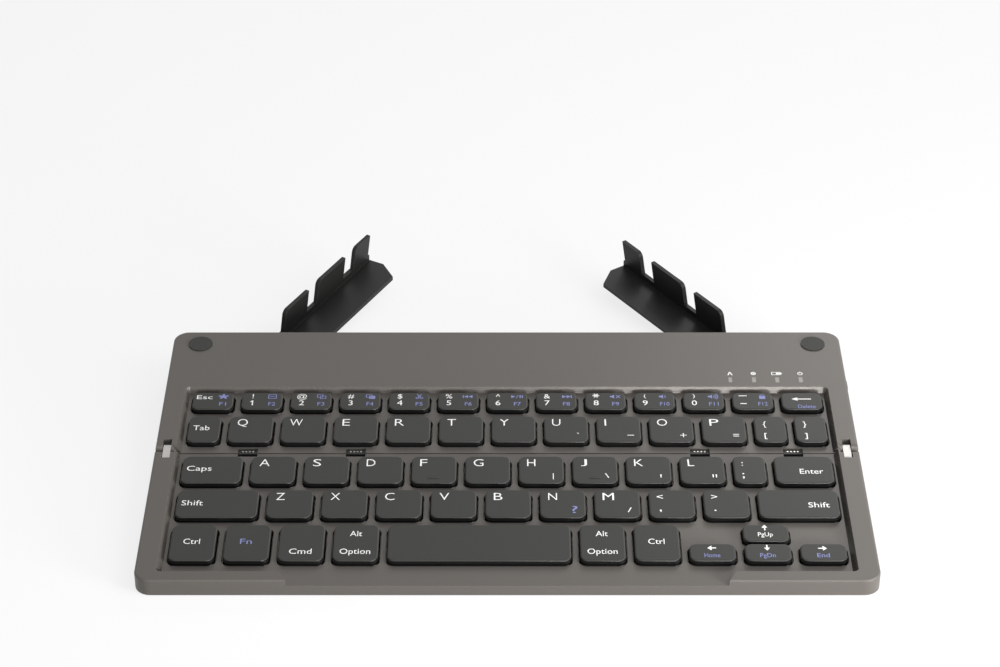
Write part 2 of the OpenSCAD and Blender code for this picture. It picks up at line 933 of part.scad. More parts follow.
module front_support_plate() {
    color("#9a9a98")
        keyboard_plane()
            block([-field_w + 1, field_front + 1.2, cover_top], [field_w - 1, -2.6, plate_top]);
}

module front_domes() {
    color("#d8d6d0")
        keyboard_plane()
            domes(front_keys, field_front + 1.2, -2.6);
}

module front_feet() {
    color("#2a2a29")
        both_sides()
            foot(foot_x, front_foot_y, -body_t);
}

module front_screws() screws(screw_spots_front);

// ---------------------------------------------------------------- assembly

rear_top_case();
rear_bottom_case();
rear_support_plate();
rear_domes();
main_board();
battery();
charge_socket();
power_switch();
status_lights();
bar_bumpers();
rear_feet();
rear_screws();
stand_arm_left();
stand_arm_right();
stand_pivots();
rear_hinge_pins();
hinge_links();
cable_boots();
cable_contacts();
flex_cables();
front_top_case();
front_bottom_case();
front_support_plate();
front_domes();
front_feet();
front_screws();
front_hinge_pins();
key_q();
key_w();
key_e();
key_r();
key_t();
key_y();
key_u();
key_i();
key_o();
key_p();
key_a();
key_s();
key_d();
key_f();
key_g();
key_h();
key_j();
key_k();
key_l();
key_z();
key_x();
key_c();
key_v();
key_b();
key_n();
key_m();
number_row_keys();
tab_bracket_keys();
punctuation_keys();
enter_key();
modifier_keys();
space_key();
arrow_keys();
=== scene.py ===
"""Looks of the folding keyboard: finishes, keycaps, legends, case details, light and camera."""

import json
import math

import bpy
from mathutils import Matrix, Vector


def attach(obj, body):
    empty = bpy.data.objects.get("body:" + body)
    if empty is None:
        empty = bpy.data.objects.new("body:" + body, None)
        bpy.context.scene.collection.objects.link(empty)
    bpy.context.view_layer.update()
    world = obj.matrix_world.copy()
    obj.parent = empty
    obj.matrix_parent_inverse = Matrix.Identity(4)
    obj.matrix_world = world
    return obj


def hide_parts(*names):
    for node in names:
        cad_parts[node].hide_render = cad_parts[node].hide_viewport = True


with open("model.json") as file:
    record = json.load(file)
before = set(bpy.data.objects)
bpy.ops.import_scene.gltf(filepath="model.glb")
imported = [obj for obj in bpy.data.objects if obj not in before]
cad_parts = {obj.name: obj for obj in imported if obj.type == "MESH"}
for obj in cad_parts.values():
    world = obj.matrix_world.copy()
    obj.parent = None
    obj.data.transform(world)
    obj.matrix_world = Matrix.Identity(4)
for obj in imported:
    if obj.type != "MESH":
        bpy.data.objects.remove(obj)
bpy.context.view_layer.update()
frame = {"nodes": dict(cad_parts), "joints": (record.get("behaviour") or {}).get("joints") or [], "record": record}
nodes = frame["nodes"]
joints = {joint["name"]: joint for joint in frame["joints"]}
slot_of = {part["node"]: part["material_slot"] for part in frame["record"]["subparts"]}

MM = 0.001

# ------------------------------------------------------------------ key plane
# Lengths are millimetres on the key plane: x right, y away from the typist from the
# fold line, z up from the top of the border. The feet tilt that plane on the table.

PIN_DEPTH = 2.55  # hinge pins below the border
UP = -Vector(joints["key_q_press"]["axis"])
BACK = Vector((0, UP.z, -UP.y))
pins = [Vector(joints[name]["pos_m"]) for name in ("fold_rear", "fold_front")]
PLANE = Matrix.Translation((pins[0] + pins[1]) / 2 + UP * PIN_DEPTH * MM) @ Matrix((
    (MM, 0, 0, 0),
    (0, BACK.y * MM, UP.y * MM, 0),
    (0, BACK.z * MM, UP.z * MM, 0),
    (0, 0, 0, 1),
))
FROM_PLANE = PLANE.inverted()


def solid_boxes(node):
    """Low and high corners, on the key plane, of a CAD node's solids, left to right."""
    mesh = nodes[node].data
    spots = [tuple(round(c, 6) for c in v.co) for v in mesh.vertices]
    group = {spot: spot for spot in spots}

    def root(spot):
        while group[spot] != spot:
            group[spot] = group[group[spot]]
            spot = group[spot]
        return spot

    for face in mesh.polygons:
        first = root(spots[face.vertices[0]])
        for index in face.vertices[1:]:
            group[root(spots[index])] = first
    solids = {}
    for spot in group:
        solids.setdefault(root(spot), []).append(FROM_PLANE @ Vector(spot))
    boxes = []
    for points in solids.values():
        low = [min(p[i] for p in points) for i in range(3)]
        high = [max(p[i] for p in points) for i in range(3)]
        boxes.append((low, high))
    return sorted(boxes, key=lambda box: (round(box[0][0]), box[0][1]))


# ------------------------------------------------------------------ materials


def linear(red, green, blue):
    """A colour picked in sRGB 0 to 255, as Blender takes it."""
    return tuple(
        c / 12.92 if c <= 0.04045 else ((c + 0.055) / 1.055) ** 2.4
        for c in (red / 255, green / 255, blue / 255)
    )


def shade(color, factor):
    """A lighter or darker colour, with full alpha."""
    return tuple(min(1.0, c * factor) for c in color) + (1.0,)


NOISE_LOW, NOISE_HIGH = 0.3, 0.7  # where most values of the grain's noise lie
GLOSS_SPREAD = 0.06  # how far the grain moves the roughness up and down
COAT_ROUGH = 0.25
# how well a face agrees with the rounded surface, where the lighter edge starts and where it is full; the lighter
# edge is wear and a painted highlight
WEAR_AND_HIGHLIGHT_STARTS, WEAR_AND_HIGHLIGHT_FULL = 0.995, 0.8


def surface(
    name,
    color,
    rough=0.5,
    metallic=0.0,
    spread=0.06,
    patch=14.0,
    grain=0.35,
    depth=0.01,
    edge=None,
    edge_size=0.35,
    coat=0.0,
    specular=0.5,
    stretch=(1, 1, 1),
):
    """A finish with mottled colour, a fine grain and, where edge is a colour, lighter edges: wear and a painted
    highlight.

    patch is the size of the colour patches, grain that of the surface grain, depth its
    height and edge_size the reach of the lighter edges, all in millimetres. stretch draws the grain
    out along an axis.
    """
    material = bpy.data.materials.new(name)
    material.use_nodes = True
    tree = material.node_tree
    link = tree.links.new
    shader = tree.nodes["Principled BSDF"]
    shader.inputs["Metallic"].default_value = metallic
    shader.inputs["Coat Weight"].default_value = coat
    shader.inputs["Coat Roughness"].default_value = COAT_ROUGH
    shader.inputs["Specular IOR Level"].default_value = specular

    place = tree.nodes.new("ShaderNodeTexCoord").outputs["Object"]
    patches = tree.nodes.new("ShaderNodeTexNoise")
    patches.inputs["Scale"].default_value = 1 / (patch * MM)
    patches.inputs["Detail"].default_value = 3
    link(place, patches.inputs["Vector"])
    tint = tree.nodes.new("ShaderNodeMix")
    tint.data_type = "RGBA"
    tint.inputs["A"].default_value = shade(color, 1 - spread)
    tint.inputs["B"].default_value = shade(color, 1 + spread)
    link(patches.outputs["Fac"], tint.inputs["Factor"])
    painted = tint.outputs["Result"]

    scaled = tree.nodes.new("ShaderNodeMapping")
    scaled.inputs["Scale"].default_value = stretch
    link(place, scaled.inputs["Vector"])
    fine = tree.nodes.new("ShaderNodeTexNoise")
    fine.inputs["Scale"].default_value = 1 / (grain * MM)
    fine.inputs["Detail"].default_value = 2
    link(scaled.outputs["Vector"], fine.inputs["Vector"])
    bump = tree.nodes.new("ShaderNodeBump")
    bump.inputs["Distance"].default_value = depth * MM
    bump.inputs["Strength"].default_value = 1.0
    link(fine.outputs["Fac"], bump.inputs["Height"])
    link(bump.outputs["Normal"], shader.inputs["Normal"])

    gloss = tree.nodes.new("ShaderNodeMapRange")
    gloss.inputs["From Min"].default_value = NOISE_LOW
    gloss.inputs["From Max"].default_value = NOISE_HIGH
    gloss.inputs["To Min"].default_value = rough - GLOSS_SPREAD
    gloss.inputs["To Max"].default_value = rough + GLOSS_SPREAD
    link(fine.outputs["Fac"], gloss.inputs["Value"])
    link(gloss.outputs["Result"], shader.inputs["Roughness"])

    # lighter edges: wear, and a painted highlight standing in for light caught on edges that the CAD meshes keep
    # sharp
    if edge:
        flat = tree.nodes.new("ShaderNodeNewGeometry").outputs["True Normal"]
        soft = tree.nodes.new("ShaderNodeBevel")
        soft.samples = 4
        soft.inputs["Radius"].default_value = edge_size * MM
        facing = tree.nodes.new("ShaderNodeVectorMath")
        facing.operation = "DOT_PRODUCT"
        link(flat, facing.inputs[0])
        link(soft.outputs["Normal"], facing.inputs[1])
        edge_wear_and_highlight = tree.nodes.new("ShaderNodeMapRange")
        edge_wear_and_highlight.inputs["From Min"].default_value = WEAR_AND_HIGHLIGHT_STARTS
        edge_wear_and_highlight.inputs["From Max"].default_value = WEAR_AND_HIGHLIGHT_FULL
        link(facing.outputs["Value"], edge_wear_and_highlight.inputs["Value"])
        wear_and_highlight_mix = tree.nodes.new("ShaderNodeMix")
        wear_and_highlight_mix.data_type = "RGBA"
        wear_and_highlight_mix.inputs["B"].default_value = tuple(edge) + (1.0,)
        link(edge_wear_and_highlight.outputs["Result"], wear_and_highlight_mix.inputs["Factor"])
        link(painted, wear_and_highlight_mix.inputs["A"])
        painted = wear_and_highlight_mix.outputs["Result"]
    link(painted, shader.inputs["Base Color"])
    return material


BODY_GREY = linear(85, 81, 77)

# one finish for each material slot of the record, apart from the keys'
# an edge colour, lighter than its finish, is wear with a painted edge highlight
finishes = {
    "case_paint": surface(
        "gunmetal_paint", BODY_GREY, rough=0.42, metallic=0.35, spread=0.03, patch=30,
        grain=0.12, depth=0.002, edge=shade(BODY_GREY, 1.5)[:3], edge_size=0.25,
    ),
    "bottom_plastic": surface(
        "bottom_plastic", linear(92, 90, 87), rough=0.6, grain=0.5, depth=0.03,
        edge=linear(125, 122, 118),
    ),
    "plate_steel": surface(
        "plate_steel", linear(160, 160, 158), rough=0.35, metallic=0.9, stretch=(0.05, 1, 1)
    ),
    "dome_rubber": surface("dome_rubber", linear(205, 203, 197), rough=0.75, specular=0.3),
    "board_laminate": surface("board_laminate", linear(36, 92, 52), rough=0.35, patch=4),
    "cell_wrap": surface("cell_wrap", linear(62, 96, 150), rough=0.3, coat=0.3),
    "socket_shell": surface(
        "socket_shell", linear(190, 190, 186), rough=0.22, metallic=1.0,
        edge=linear(225, 225, 222),
    ),
    "switch_plastic": surface(
        "switch_plastic", linear(34, 34, 33), rough=0.4, edge=linear(70, 70, 68)
    ),
    "light_pipe": surface(
        "light_pipe", linear(128, 126, 120), rough=0.3, patch=1.5, spread=0.08
    ),
    "foot_rubber": surface(
        "foot_rubber", linear(38, 38, 37), rough=0.85, specular=0.3, depth=0.03
    ),
    "bumper_rubber": surface(
        "bumper_rubber", linear(38, 38, 36), rough=0.55, specular=0.3, grain=0.3, depth=0.02
    ),
    "steel": surface("pin_steel", linear(172, 172, 168), rough=0.28, metallic=1.0),
    "arm_plastic": surface(
        "arm_plastic", linear(22, 22, 21), rough=0.42, spread=0.1, patch=9, grain=0.3,
        depth=0.006, edge=linear(60, 60, 58), edge_size=0.3, specular=0.2,
    ),
    "link_metal": surface(
        "link_metal", linear(186, 184, 181), rough=0.32, metallic=0.85, stretch=(1, 0.08, 1),
        edge=linear(235, 233, 230), edge_size=0.2,
    ),
    "cable_black": surface(
        "cable_black", linear(20, 20, 20), rough=0.45, edge=linear(52, 52, 50)
    ),
    "contact_metal": surface("contact_metal", linear(225, 222, 214), rough=0.2, metallic=1.0),
    "flex_film": surface("flex_film", linear(38, 33, 29), rough=0.3, coat=0.3),
}
gloss_paint = surface(
    "gloss_paint", BODY_GREY, rough=0.24, metallic=0.35, spread=0.04, patch=30, grain=0.3,
    depth=0.003,
)
key_top = surface(
    "key_top", linear(42, 42, 40), rough=0.42, spread=0.05, patch=8, grain=0.16, depth=0.003,
    specular=0.26,
)
# the caps' sides: the tops' plastic with a much darker colour, painted shade, and more gloss
key_side_painted_shade = surface(
    "key_side_painted_shade", linear(8, 8, 8), rough=0.17, spread=0.12, patch=5, grain=0.6, depth=0.004,
    specular=0.45, coat=0.3,
)
white_ink = surface(
    "white_ink", linear(232, 232, 230), rough=0.55, spread=0.05, patch=1.2, grain=0.1
)
blue_ink = surface(
    "blue_ink", linear(120, 125, 174), rough=0.55, spread=0.06, patch=1.2, grain=0.1
)
INKS = {"white": 0, "blue": 1}

for node, solid in nodes.items():
    solid.data.materials.clear()
    solid.data.materials.append(finishes.get(slot_of[node], key_side_painted_shade))


# ------------------------------------------------------------------ mesh building

CORNER_STEPS = 7  # straight pieces in a quarter circle


def add_piece(name, body, points, faces, materials):
    """A mesh from key-plane points that rides on a CAD body."""
    mesh = bpy.data.meshes.new(name)
    mesh.from_pydata([PLANE @ Vector(p) for p in points], [], faces)
    for material in materials:
        mesh.materials.append(material)
    piece = bpy.data.objects.new(name, mesh)
    bpy.context.scene.collection.objects.link(piece)
    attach(piece, body)
    return piece


def append_mesh(points, faces, more_points, more_faces):
    """Adds points, and faces that count from the first of them, to a mesh's lists."""
    start = len(points)
    points += more_points
    faces += [tuple(start + i for i in face) for face in more_faces]


def arc_points(centre, radius, start, end, steps):
    """Points round a centre from one angle to another, in degrees."""
    x, y = centre
    angles = [math.radians(start + (end - start) * i / steps) for i in range(steps + 1)]
    return [(x + radius * math.cos(a), y + radius * math.sin(a)) for a in angles]


def bar(x, y, width, height):
    """A rectangle from its low corner, counter-clockwise."""
    return [(x, y), (x + width, y), (x + width, y + height), (x, y + height)]


def turned(shape, angle):
    """A shape turned counter-clockwise about (0, 0), by an angle in radians."""
    cos, sin = math.cos(angle), math.sin(angle)
    return [(x * cos - y * sin, x * sin + y * cos) for x, y in shape]


def rounded_outline(low, high, radius):
    """A rectangle with round corners, counter-clockwise."""
    outline = []
    for x, y, start in (
        (high[0] - radius, high[1] - radius, 0),
        (low[0] + radius, high[1] - radius, 90),
        (low[0] + radius, low[1] + radius, 180),
        (high[0] - radius, low[1] + radius, 270),
    ):
        outline += arc_points((x, y), radius, start, start + 90, CORNER_STEPS)
    return outline


def stack_rings(rings):
    """Points and faces of a closed form through rings of equal length, first to last."""
    count = len(rings[0])
    points = [point for ring in rings for point in ring]
    faces = [tuple(reversed(range(count)))]
    for level in range(len(rings) - 1):
        low, high = level * count, (level + 1) * count
        for i in range(count):
            j = (i + 1) % count
            faces.append((low + i, low + j, high + j, high + i))
    faces.append(tuple(range((len(rings) - 1) * count, len(rings) * count)))
    return points, faces


# ------------------------------------------------------------------ keycaps

CAP_RADIUS = 2.9  # plan radius of a cap's foot
CAP_WALL = 1.2
CAP_TOP = 1.0  # thickness of the top
CAP_HEIGHT = 2.7
# inset and depth below the top: from inside under the top, round the foot, up the flared
# side and over the shoulder
CAP_PROFILE = [
    (CAP_WALL, CAP_TOP), (CAP_WALL, CAP_HEIGHT), (0.0, CAP_HEIGHT), (0.0, 2.58), (0.07, 2.46),
    (0.24, 2.29), (0.3, 2.2), (0.32, 2.0), (0.33, 0.8), (0.35, 0.5), (0.42, 0.25), (0.54, 0.1),
    (0.7, 0.02), (0.87, 0.0), (1.0, 0.0),
]
SHOULDER_LEVEL = 10  # the matt top starts above this level of the profile; below it the sides take a darker colour, painted shade
SHOULDER_FACE = SHOULDER_LEVEL * 4 * (CORNER_STEPS + 1)  # faces up to that level
BUMP_BAR = (3.9, 0.5, 0.22)  # length, width and height of the bar on F and J
BUMP_SPOT = (8.1, 13.0)  # its middle, from the cap's left and back edges
# inset and height above the cap's top
BUMP_PROFILE = ((0, -0.05), (0, BUMP_BAR[2] * 0.6), (0.1, BUMP_BAR[2]), (0.16, BUMP_BAR[2]))


def cap_mesh(box):
    """A hollow cap on the foot of a CAD cap, whose box this is."""
    low, high = box
    rings = []
    for inset, depth in CAP_PROFILE:
        outline = rounded_outline(
            (low[0] + inset, low[1] + inset), (high[0] - inset, high[1] - inset),
            CAP_RADIUS - inset,
        )
        rings.append([(x, y, high[2] - depth) for x, y in outline])
    return stack_rings(rings)


def bump_bar(box):
    """The small raised bar that a finger finds on F and J."""
    low, high = box
    x, y = low[0] + BUMP_SPOT[0], high[1] - BUMP_SPOT[1]
    length, width, _ = BUMP_BAR
    rings = []
    for inset, z in BUMP_PROFILE:
        outline = rounded_outline(
            (x - length / 2 + inset, y - width / 2 + inset),
            (x + length / 2 - inset, y + width / 2 - inset), width / 2 - inset,
        )
        rings.append([(px, py, high[2] + z) for px, py in outline])
    return stack_rings(rings)


caps = {node: solid_boxes(node) for node, slot in slot_of.items() if slot == "key_plastic"}

for node, boxes in caps.items():
    points, faces, matt = [], [], []
    for box in boxes:
        cap_points, cap_faces = cap_mesh(box)
        append_mesh(points, faces, cap_points, cap_faces)
        matt += [i > SHOULDER_FACE for i in range(len(cap_faces))]
    if node in ("key_f", "key_j"):
        append_mesh(points, faces, *bump_bar(boxes[0]))
        matt += [True] * (len(faces) - len(matt))
    # the sides take the darker colour that is painted shade, the tops the plastic's own colour
    keys = add_piece("cap_" + node, node, points, faces, [key_side_painted_shade, key_top])
    for face, is_top in zip(keys.data.polygons, matt):
        face.use_smooth = True
        face.material_index = int(is_top)
    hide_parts(node)

# ------------------------------------------------------------------ case details

FIELD_SIDE, FIELD_BACK, FIELD_FRONT = 116.8, 37.5, -68.2  # walls of the sunken key field
FIELD_RADIUS = 1.8
FIELD_MOUTH = 0.9  # from the fold line to where the walls end
SIDE_SPREAD = 1.7  # how much wider the sloping strip is along the sides
BEVEL_BURY = -0.3  # how far the strip reaches into the wall
BEVEL_RIM, BEVEL_RIM_LEVEL = 0.03, -0.03
BEVEL_FOOT, BEVEL_FOOT_LEVEL = 1.0, -2.35  # just under the deck
# the strip's cross-section: how far in from the wall, and height
BEVEL_SECTION = [
    (BEVEL_BURY, BEVEL_RIM_LEVEL), (BEVEL_RIM, BEVEL_RIM_LEVEL),
    (BEVEL_FOOT, BEVEL_FOOT_LEVEL), (BEVEL_BURY, BEVEL_FOOT_LEVEL),
]


def add_bevel(name, body, outline, away):
    """The strip's section swept along an outline, a function that gives the path at an inset.

    away is 1 for the rear half and -1 for the front half, where y runs the other way.
    """
    paths = [
        [(x, y * away, height) for x, y in outline(inset)] for inset, height in BEVEL_SECTION
    ]
    rings = [list(ring) for ring in zip(*paths)]
    points, faces = stack_rings(rings[::-1] if away > 0 else rings)
    add_piece(name, body, points, faces, [gloss_paint])


def side_wall(inset, wall):
    """On the right, from the fold to the corner with the wall across."""
    side = FIELD_SIDE - inset * SIDE_SPREAD
    return [(side, FIELD_MOUTH), (side, wall - FIELD_RADIUS)]


def rear_walls(inset):
    """From the fold up the right side, across under the bar, and down the left side."""
    corner = arc_points((0, 0), 1, 0, 90, CORNER_STEPS)
    reach = (FIELD_RADIUS - inset * SIDE_SPREAD, FIELD_RADIUS - inset)
    middle = (FIELD_SIDE - FIELD_RADIUS, FIELD_BACK - FIELD_RADIUS)
    half = side_wall(inset, FIELD_BACK)[:1] + [
        (middle[0] + x * reach[0], middle[1] + y * reach[1]) for x, y in corner
    ]
    return half + [(-x, y) for x, y in reversed(half)]


def front_right(inset):
    """The right side of the front half."""
    return side_wall(inset, -FIELD_FRONT)


def front_left(inset):
    """The left side of the front half."""
    return [(-x, y) for x, y in reversed(front_right(inset))]


add_bevel("field_bevel_rear", "rear_half", rear_walls, 1)
add_bevel("field_bevel_right", "front_half", front_right, -1)
add_bevel("field_bevel_left", "front_half", front_left, -1)

SLOT = (1.7, 0.42)  # length and width of the painted-shade cross on a screw's head
SLOT_LIFT = 0.02  # below the head's face, so that the two faces don't flicker


def screw_recess_shade(name, body, node):
    """Dark crosses on the heads of the screws, which face down: painted shade of a cross recess."""
    length, width = SLOT
    arm = (length - width) / 2
    points, faces = [], []
    for low, high in solid_boxes(node):
        x, y = (low[0] + high[0]) / 2, (low[1] + high[1]) / 2
        for shape in (
            bar(x - length / 2, y - width / 2, length, width),
            bar(x - width / 2, y + width / 2, width, arm),
            bar(x - width / 2, y - width / 2 - arm, width, arm),
        ):
            faces.append(tuple(range(len(points), len(points) + 4)))
            points += [(px, py, low[2] - SLOT_LIFT) for px, py in reversed(shape)]
    # the black finish serves as painted shade of the recess
    add_piece(name, body, points, faces, [finishes["cable_black"]])


screw_recess_shade("screw_crosses_rear", "rear_half", "rear_screws")
screw_recess_shade("screw_crosses_front", "front_half", "front_screws")

# ------------------------------------------------------------------ legends

INK_LIFT = 0.02  # ink above the surface it is printed on
LETTER, DIGIT, WORD, MARK, LABEL = 4.0, 2.9, 2.75, 2.5, 2.15  # heights of the capitals
THIN = -0.007  # how much the large letters are thinned, in text heights


def text_shape(text, offset=0.0):
    """Points and faces of a line of text, with its baseline at y = 0.

    A negative offset thins the strokes.
    """
    curve = bpy.data.curves.new("ink", "FONT")
    curve.body = text
    curve.size = 1.0
    curve.offset = 0.0 if "M" in text else offset  # the font's M breaks when it is thinned
    curve.resolution_u = 3
    holder = bpy.data.objects.new("ink", curve)
    mesh = bpy.data.meshes.new_from_object(holder)
    points = [(v.co.x, v.co.y) for v in mesh.vertices]
    faces = [tuple(face.vertices) for face in mesh.polygons]
    bpy.data.objects.remove(holder)
    bpy.data.meshes.remove(mesh)
    bpy.data.curves.remove(curve)
    return points, faces


capital = max(y for _, y in text_shape("H")[0])  # the font's own height of a capital


def place_text(text, x, top, height, align, width=None):
    """Text with its capitals' top at y = top, and x its left edge, middle or right edge.

    A width, in millimetres, stretches it sideways. The font's J hangs below the line, so it is
    pressed up to stand on it.
    """
    points, faces = text_shape(text, THIN if height == LETTER else 0.0)
    size = height / capital
    left, right = min(p[0] for p in points), max(p[0] for p in points)
    shift = {"left": left, "centre": (left + right) / 2, "right": right}[align]
    across = width / (right - left) if width else size
    rise = height / (capital - min(p[1] for p in points)) if text == "J" else size
    placed = [((px - shift) * across + x, (py - capital) * rise + top) for px, py in points]
    return placed, faces


def polygon_shape(polygons, x, y):
    """Polygons drawn round (0, 0), set down at x, y."""
    points, faces = [], []
    for polygon in polygons:
        face = tuple(range(len(polygon)))
        append_mesh(points, faces, [(px + x, py + y) for px, py in polygon], [face])
    return points, faces


def frame_bars(x, y, width, height, line):
    """The outline of a rectangle as four bars."""
    return [
        bar(x, y, width, line), bar(x, y + height - line, width, line),
        bar(x, y + line, line, height - 2 * line),
        bar(x + width - line, y + line, line, height - 2 * line),
    ]


ARC_STEPS = 8


def arc_band(x, y, radius, line, start, end):
    """A curved stroke as a row of quads, from one angle to another, in degrees."""
    inner = arc_points((x, y), radius - line / 2, start, end, ARC_STEPS)
    outer = arc_points((x, y), radius + line / 2, start, end, ARC_STEPS)
    return [[inner[i], outer[i], outer[i + 1], inner[i + 1]] for i in range(ARC_STEPS)]


def triangle(x, y, width, height):
    """A triangle that points right, or left where width is negative."""
    points = [(x, y - height / 2), (x + width, y), (x, y + height / 2)]
    return points if width > 0 else points[::-1]


def arrow(length, head, width, line, angle):
    """An arrow about (0, 0) that points along angle, with a head of that length and width."""
    shapes = [
        bar(-length / 2, -line / 2, length - head, line),
        triangle(length / 2 - head, 0, head, width),
    ]
    return [turned(shape, math.radians(angle)) for shape in shapes]


def tick(x):
    """One stroke of a straight quotation mark, wider at its top."""
    return [(x - 0.14, -0.9), (x + 0.1, -0.9), (x + 0.26, 0.9), (x - 0.26, 0.9)]


PETAL_STEPS = 10
FLOWER_STRETCH = (1.15, 0.95)


def flower(petals, radius, swell):
    """A flower with round petals, as triangles about its middle."""
    steps = petals * PETAL_STEPS
    rim = []
    for i in range(steps):
        turn = 2 * math.pi * i / steps
        reach = radius + swell * math.cos(petals * turn)
        x, y = -reach * math.sin(turn), reach * math.cos(turn)
        rim.append((x * FLOWER_STRETCH[0], y * FLOWER_STRETCH[1]))
    return [[(0, 0), rim[i - 1], rim[i]] for i in range(steps)]


def star(strokes, width, line):
    """Strokes that cross at (0, 0), at even angles."""
    stroke = bar(-width / 2, -line / 2, width, line)
    return [turned(stroke, math.pi * i / strokes) for i in range(strokes)]


def speaker(waves):
    """A loudspeaker from the side, with a number of sound waves."""
    shapes = [
        bar(-1.9, -0.45, 0.7, 0.9), [(-1.2, -0.45), (-0.4, -1.15), (-0.4, 1.15), (-1.2, 0.45)],
    ]
    for i in range(waves):
        shapes += arc_band(-0.5, 0, 0.9 + 0.65 * i, 0.28, -48, 48)
    return shapes


# each icon as polygons about its middle, in millimetres
ICONS = {
    "flower": flower(5, 1.25, 0.45),
    "flag": [[(-0.1, 0), (-0.1, -0.6), (-0.8, -1.0), (-0.8, -0.5)]],
    "frame": frame_bars(-1.5, -1.3, 3, 2.6, 0.28) + [bar(-0.9, -0.14, 1.8, 0.28)],
    "copy": frame_bars(-1.6, -0.6, 2.2, 1.9, 0.26) + frame_bars(-0.5, -1.4, 2.2, 1.9, 0.26),
    "paste": frame_bars(-1.6, -0.6, 2.2, 1.9, 0.26) + [bar(-0.5, -1.4, 2.2, 1.9)],
    "cut": arc_band(-0.75, -0.85, 0.5, 0.26, 0, 360)
    + arc_band(0.75, -0.85, 0.5, 0.26, 0, 360)
    + [
        [(-0.62, -0.4), (-0.3, -0.55), (1.0, 1.5), (0.65, 1.5)],
        [(0.3, -0.55), (0.62, -0.4), (-0.65, 1.5), (-1.0, 1.5)],
    ],
    "previous": [
        bar(-2.0, -0.85, 0.35, 1.7), triangle(-0.1, 0, -1.5, 1.7), triangle(1.5, 0, -1.5, 1.7),
    ],
    "play": [
        triangle(-2.2, 0, 1.5, 1.7), [(-0.6, -1), (-0.35, -1), (0.45, 1), (0.2, 1)],
        bar(0.8, -0.85, 0.42, 1.7), bar(1.6, -0.85, 0.42, 1.7),
    ],
    "next": [
        triangle(-1.5, 0, 1.5, 1.7), triangle(0.1, 0, 1.5, 1.7), bar(1.65, -0.85, 0.35, 1.7),
    ],
    "mute": speaker(0) + [
        [(0.2, -0.75), (0.45, -0.95), (1.8, 0.75), (1.55, 0.95)],
        [(0.45, 0.95), (0.2, 0.75), (1.55, -0.95), (1.8, -0.75)],
    ],
    "quieter": speaker(1),
    "louder": speaker(3),
    "lock": [bar(-1.1, -1.4, 2.2, 1.7)] + arc_band(0, 0.3, 0.8, 0.32, 0, 180),
    "wide_arrow": arrow(7.1, 2.2, 2.0, 0.5, 180),
    "star": star(3, 2.5, 0.45),
    "wide_dash": [bar(-1.5, -0.2, 3.0, 0.4)],
    "dash": [bar(-1.15, -0.22, 2.3, 0.44)],
    "minus": [bar(-1.2, -0.16, 2.4, 0.32)],
    "plus": [
        bar(-1.15, -0.16, 1.0, 0.32), bar(0.15, -0.16, 1.0, 0.32), bar(-0.15, -1.2, 0.3, 2.4),
    ],
    "equals": [bar(-1.05, -0.7, 2.1, 0.34), bar(-1.05, 0.36, 2.1, 0.34)],
    "quote": [tick(0)],
    "quotes": [tick(-0.55), tick(0.55)],
    "left": arrow(2.7, 1.3, 2.3, 0.42, 180),
    "right": arrow(2.7, 1.3, 2.3, 0.42, 0),
    "up": arrow(2.7, 1.4, 1.8, 0.42, 90),
    "down": arrow(2.7, 1.4, 1.8, 0.42, 270),
    "caps_on": [
        [(-0.95, -1), (-0.5, -1), (0.2, 1), (-0.2, 1)],
        [(0.5, -1), (0.95, -1), (0.2, 1), (-0.2, 1)],
    ],
    "linked": arc_band(0, 0, 0.78, 0.42, 0, 360) + arc_band(0, 0, 0.18, 0.3, 0, 360),
    "cell": frame_bars(-1.9, -0.95, 3.4, 1.9, 0.3)
    + [bar(1.55, -0.4, 0.4, 0.8), bar(-0.2, -0.5, 1.3, 1.0)],
    "power": arc_band(0, -0.05, 0.85, 0.32, 115, 425) + [bar(-0.16, 0.1, 0.32, 1.0)],
}

legends = {}  # what is printed on each node: shapes with their levels and inks


def print_text(node, text, x, top, height, ink="white", align="left", cap=0, width=None):
    """Text on a cap, x and top from the cap's left and back edges."""
    low, high = caps[node][cap]
    shape = place_text(text, low[0] + x, high[1] - top, height, align, width)
    legends.setdefault(node, []).append((shape, high[2], ink))


def print_icon(node, icon, x, y, ink="white", cap=0, scale=1.0):
    """An icon on a cap, its middle at x and y from the cap's left and back edges."""
    low, high = caps[node][cap]
    polygons = [[(px * scale, py * scale) for px, py in shape] for shape in ICONS[icon]]
    shape = polygon_shape(polygons, low[0] + x, high[1] - y)
    legends.setdefault(node, []).append((shape, high[2], ink))


# widths of the letters, in heights of a capital
LETTER_WIDTHS = {
    "q": 0.91, "w": 1.12, "e": 0.68, "r": 0.82, "t": 0.76, "y": 0.8, "u": 0.74, "i": 0.13,
    "o": 0.9, "p": 0.82, "a": 0.89, "s": 0.7, "d": 0.77, "f": 0.62, "g": 0.86, "h": 0.72,
    "j": 0.55, "k": 0.78, "l": 0.57, "z": 0.74, "x": 0.82, "c": 0.82, "v": 0.84, "b": 0.74,
    "n": 0.76, "m": 0.98,
}
LETTER_SPOT = (3.25, 2.2)  # a letter's left edge and top, from its cap's left and back edges
for letter, share in LETTER_WIDTHS.items():
    print_text("key_" + letter, letter.upper(), *LETTER_SPOT, LETTER, width=share * LETTER)

